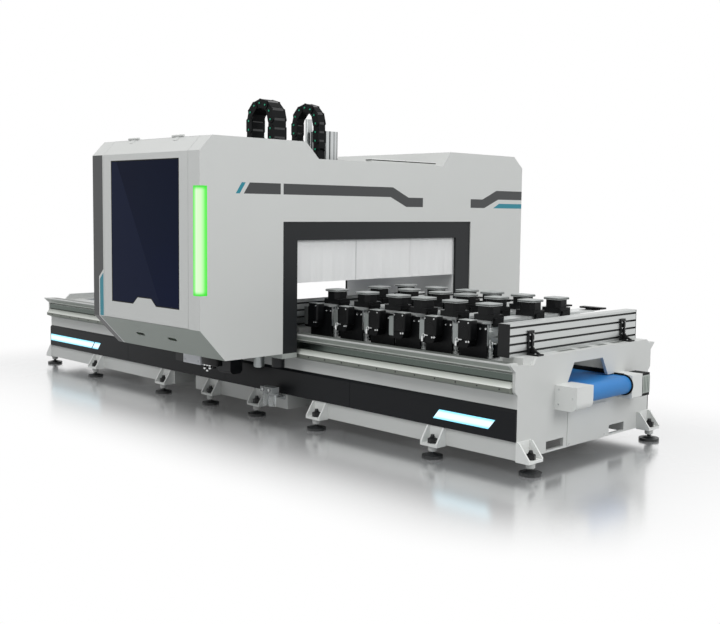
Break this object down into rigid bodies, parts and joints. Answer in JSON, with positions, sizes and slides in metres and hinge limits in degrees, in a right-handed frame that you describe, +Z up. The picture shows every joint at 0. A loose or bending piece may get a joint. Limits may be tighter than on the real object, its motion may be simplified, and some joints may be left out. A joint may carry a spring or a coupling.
{
  "type": "cnc router",
  "caption": "Gantry machining centre: long bed, sliding consoles with suction pods, enclosed gantry with cross carriage, spindle ram, door, curtains and chip conveyor.",
  "frame": {"origin": "centre of the machine's whole footprint, on the floor under the levelling feet", "axes": "+X along the bed towards the conveyor end, +Y from the operator's side to the cabinet side, +Z up"},
  "size_m": [7.0014, 4.09, 2.7768],
  "materials": {
    "bed_paint": "light grey powder coat",
    "rail_steel": "ground steel",
    "cover_paint": "dark grey powder coat",
    "light_bar": "lit translucent plastic",
    "foot_black": "black coated steel",
    "bracket_paint": "light grey powder coat",
    "belt_blue": "blue belt",
    "deck_steel": "grey paint",
    "housing_paint": "light grey powder coat",
    "motor_silver": "cast aluminium",
    "roller_steel": "turned steel",
    "fence_aluminium": "anodised extrusion",
    "fitting_black": "black paint",
    "console_black": "black and aluminium console",
    "pin_steel": "ground steel rod",
    "pod_black": "black body, light grey plate",
    "portal_paint": "dark grey powder coat",
    "cabin_paint": "light grey powder coat",
    "glass_dark": "dark tinted glass",
    "lamp_green": "lit green diffuser",
    "curtain_white": "white flexible strips",
    "beam_paint": "grey paint",
    "ram_paint": "grey paint and ground rails",
    "tool_steel": "hardened steel",
    "chain_black": "black nylon links",
    "drive_paint": "black and silver drive parts",
    "filter_clear": "clear bowls under grey heads"
  },
  "bodies": {
    "bed": {"bed_frame": "bed_paint", "end_plates": "bed_paint", "guide_rails": "rail_steel", "side_covers": "cover_paint", "side_lights": "light_bar", "foot_brackets": "bracket_paint", "levelling_feet": "foot_black", "end_fences": "fence_aluminium", "fence_fittings": "fitting_black", "conveyor_deck": "deck_steel", "conveyor_belt": "belt_blue", "conveyor_housing": "housing_paint", "conveyor_motor": "motor_silver", "air_unit": "filter_clear"},
    "gantry": {"portal_frame": "portal_paint", "cross_beam": "beam_paint", "front_housing": "cabin_paint", "header_cover": "cabin_paint", "rear_housing": "cabin_paint", "status_light": "lamp_green", "strip_curtains": "curtain_white", "gantry_drive": "drive_paint"},
    "door": {"front_door": "cabin_paint", "door_glass": "glass_dark"},
    "carriage": {"y_carriage": "beam_paint", "energy_chains": "chain_black"},
    "ram": {"z_ram": "ram_paint"},
    "spindle": {"spindle_shaft": "tool_steel"},
    "drive_roller": {"drive_roller": "roller_steel"},
    "tail_roller": {"tail_roller": "roller_steel"},
    "console_1": {"console_1": "console_black"},
    "stop_pin_1": {"stop_pin_1": "pin_steel"},
    "pod_1_1": {"pod_1_1": "pod_black"},
    "pod_1_2": {"pod_1_2": "pod_black"},
    "pod_1_3": {"pod_1_3": "pod_black"},
    "console_2": {"console_2": "console_black"},
    "stop_pin_2": {"stop_pin_2": "pin_steel"},
    "pod_2_1": {"pod_2_1": "pod_black"},
    "pod_2_2": {"pod_2_2": "pod_black"},
    "pod_2_3": {"pod_2_3": "pod_black"},
    "console_3": {"console_3": "console_black"},
    "stop_pin_3": {"stop_pin_3": "pin_steel"},
    "pod_3_1": {"pod_3_1": "pod_black"},
    "pod_3_2": {"pod_3_2": "pod_black"},
    "pod_3_3": {"pod_3_3": "pod_black"},
    "console_4": {"console_4": "console_black"},
    "stop_pin_4": {"stop_pin_4": "pin_steel"},
    "pod_4_1": {"pod_4_1": "pod_black"},
    "pod_4_2": {"pod_4_2": "pod_black"},
    "pod_4_3": {"pod_4_3": "pod_black"},
    "console_5": {"console_5": "console_black"},
    "stop_pin_5": {"stop_pin_5": "pin_steel"},
    "pod_5_1": {"pod_5_1": "pod_black"},
    "pod_5_2": {"pod_5_2": "pod_black"},
    "pod_5_3": {"pod_5_3": "pod_black"},
    "console_6": {"console_6": "console_black"},
    "stop_pin_6": {"stop_pin_6": "pin_steel"},
    "pod_6_1": {"pod_6_1": "pod_black"},
    "pod_6_2": {"pod_6_2": "pod_black"},
    "pod_6_3": {"pod_6_3": "pod_black"}
  },
  "joints": [
    {"name": "gantry_travel", "type": "slide", "parent": "bed", "child": "gantry", "axis": [1, 0, 0], "range_m": [-2.7, 2.1]},
    {"name": "door_hinge", "type": "hinge", "parent": "gantry", "child": "door", "pos_m": [0.3225, -1.928, 2.41], "axis": [-1, 0, 0], "range_deg": [0, 80]},
    {"name": "carriage_travel", "type": "slide", "parent": "gantry", "child": "carriage", "axis": [0, 1, 0], "range_m": [-0.62, 0.98]},
    {"name": "ram_travel", "type": "slide", "parent": "carriage", "child": "ram", "axis": [0, 0, 1], "range_m": [-0.31, 0]},
    {"name": "spindle_turn", "type": "hinge", "parent": "ram", "child": "spindle", "pos_m": [0.6025, -0.314, 1.566], "axis": [0, 0, 1], "continuous": true},
    {"name": "drive_roller_turn", "type": "hinge", "parent": "bed", "child": "drive_roller", "pos_m": [3.3975, -0.059, 0.5087], "axis": [0, 1, 0], "continuous": true},
    {"name": "tail_roller_turn", "type": "hinge", "parent": "bed", "child": "tail_roller", "pos_m": [-3.1705, -0.059, 0.5087], "axis": [0, 1, 0], "continuous": true},
    {"name": "console_1_travel", "type": "slide", "parent": "bed", "child": "console_1", "axis": [1, 0, 0], "range_m": [-0.055, 0.052]},
    {"name": "stop_pin_1_lift", "type": "slide", "parent": "console_1", "child": "stop_pin_1", "axis": [0, 0, 1], "range_m": [0, 0.145]},
    {"name": "pod_1_1_travel", "type": "slide", "parent": "console_1", "child": "pod_1_1", "axis": [0, 1, 0], "range_m": [-0.035, 0.175]},
    {"name": "pod_1_2_travel", "type": "slide", "parent": "console_1", "child": "pod_1_2", "axis": [0, 1, 0], "range_m": [-0.175, 0.095]},
    {"name": "pod_1_3_travel", "type": "slide", "parent": "console_1", "child": "pod_1_3", "axis": [0, 1, 0], "range_m": [-0.095, 0.2]},
    {"name": "console_2_travel", "type": "slide", "parent": "bed", "child": "console_2", "axis": [1, 0, 0], "range_m": [-0.052, 0.047]},
    {"name": "stop_pin_2_lift", "type": "slide", "parent": "console_2", "child": "stop_pin_2", "axis": [0, 0, 1], "range_m": [0, 0.145]},
    {"name": "pod_2_1_travel", "type": "slide", "parent": "console_2", "child": "pod_2_1", "axis": [0, 1, 0], "range_m": [-0.035, 0.175]},
    {"name": "pod_2_2_travel", "type": "slide", "parent": "console_2", "child": "pod_2_2", "axis": [0, 1, 0], "range_m": [-0.175, 0.095]},
    {"name": "pod_2_3_travel", "type": "slide", "parent": "console_2", "child": "pod_2_3", "axis": [0, 1, 0], "range_m": [-0.095, 0.2]},
    {"name": "console_3_travel", "type": "slide", "parent": "bed", "child": "console_3", "axis": [1, 0, 0], "range_m": [-0.047, 0.006]},
    {"name": "stop_pin_3_lift", "type": "slide", "parent": "console_3", "child": "stop_pin_3", "axis": [0, 0, 1], "range_m": [0, 0.145]},
    {"name": "pod_3_1_travel", "type": "slide", "parent": "console_3", "child": "pod_3_1", "axis": [0, 1, 0], "range_m": [-0.035, 0.175]},
    {"name": "pod_3_2_travel", "type": "slide", "parent": "console_3", "child": "pod_3_2", "axis": [0, 1, 0], "range_m": [-0.175, 0.095]},
    {"name": "pod_3_3_travel", "type": "slide", "parent": "console_3", "child": "pod_3_3", "axis": [0, 1, 0], "range_m": [-0.095, 0.2]},
    {"name": "console_4_travel", "type": "slide", "parent": "bed", "child": "console_4", "axis": [1, 0, 0], "range_m": [-0.006, 0.029]},
    {"name": "stop_pin_4_lift", "type": "slide", "parent": "console_4", "child": "stop_pin_4", "axis": [0, 0, 1], "range_m": [0, 0.145]},
    {"name": "pod_4_1_travel", "type": "slide", "parent": "console_4", "child": "pod_4_1", "axis": [0, 1, 0], "range_m": [-0.035, 0.175]},
    {"name": "pod_4_2_travel", "type": "slide", "parent": "console_4", "child": "pod_4_2", "axis": [0, 1, 0], "range_m": [-0.175, 0.095]},
    {"name": "pod_4_3_travel", "type": "slide", "parent": "console_4", "child": "pod_4_3", "axis": [0, 1, 0], "range_m": [-0.095, 0.2]},
    {"name": "console_5_travel", "type": "slide", "parent": "bed", "child": "console_5", "axis": [1, 0, 0], "range_m": [-0.029, 0.034]},
    {"name": "stop_pin_5_lift", "type": "slide", "parent": "console_5", "child": "stop_pin_5", "axis": [0, 0, 1], "range_m": [0, 0.145]},
    {"name": "pod_5_1_travel", "type": "slide", "parent": "console_5", "child": "pod_5_1", "axis": [0, 1, 0], "range_m": [-0.035, 0.175]},
    {"name": "pod_5_2_travel", "type": "slide", "parent": "console_5", "child": "pod_5_2", "axis": [0, 1, 0], "range_m": [-0.175, 0.095]},
    {"name": "pod_5_3_travel", "type": "slide", "parent": "console_5", "child": "pod_5_3", "axis": [0, 1, 0], "range_m": [-0.095, 0.2]},
    {"name": "console_6_travel", "type": "slide", "parent": "bed", "child": "console_6", "axis": [1, 0, 0], "range_m": [-0.034, 0.08]},
    {"name": "stop_pin_6_lift", "type": "slide", "parent": "console_6", "child": "stop_pin_6", "axis": [0, 0, 1], "range_m": [0, 0.145]},
    {"name": "pod_6_1_travel", "type": "slide", "parent": "console_6", "child": "pod_6_1", "axis": [0, 1, 0], "range_m": [-0.035, 0.175]},
    {"name": "pod_6_2_travel", "type": "slide", "parent": "console_6", "child": "pod_6_2", "axis": [0, 1, 0], "range_m": [-0.175, 0.095]},
    {"name": "pod_6_3_travel", "type": "slide", "parent": "console_6", "child": "pod_6_3", "axis": [0, 1, 0], "range_m": [-0.095, 0.2]}
  ],
  "couplings": [
    {"joint": "tail_roller_turn", "follows": "drive_roller_turn", "ratio": 1}
  ]
}
